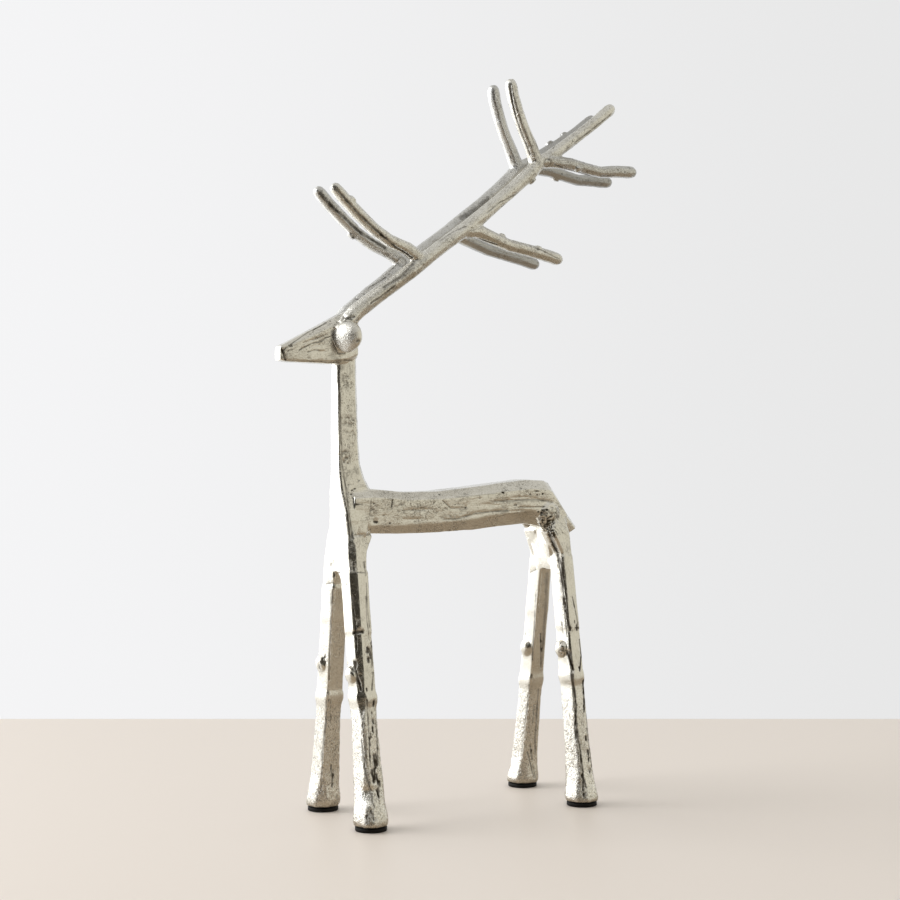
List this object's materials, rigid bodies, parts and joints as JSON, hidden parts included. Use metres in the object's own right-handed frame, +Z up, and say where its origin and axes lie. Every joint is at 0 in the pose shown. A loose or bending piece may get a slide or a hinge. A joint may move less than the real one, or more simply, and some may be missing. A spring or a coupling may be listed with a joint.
{
  "type": "reindeer figurine",
  "caption": "Tall slim standing reindeer figurine cast in metal to look as if built of branches, with swept-back antlers and round foot pads.",
  "frame": {"origin": "on the ground, under the middle of the figure's bounding box; the undersides of the foot pads lie in z = 0", "axes": "+Z up; the reindeer faces -Y; +X is its own left side"},
  "size_m": [0.0798, 0.219, 0.4003],
  "materials": {
    "cast_metal": "sand-cast and brushed bright, warm silver, dark in the pits and grooves",
    "foot_pad": "black, matt"
  },
  "bodies": {
    "root": {"reindeer_casting": "cast_metal", "pad_front_left": "foot_pad", "pad_front_right": "foot_pad", "pad_rear_left": "foot_pad", "pad_rear_right": "foot_pad"}
  },
  "joints": []
}
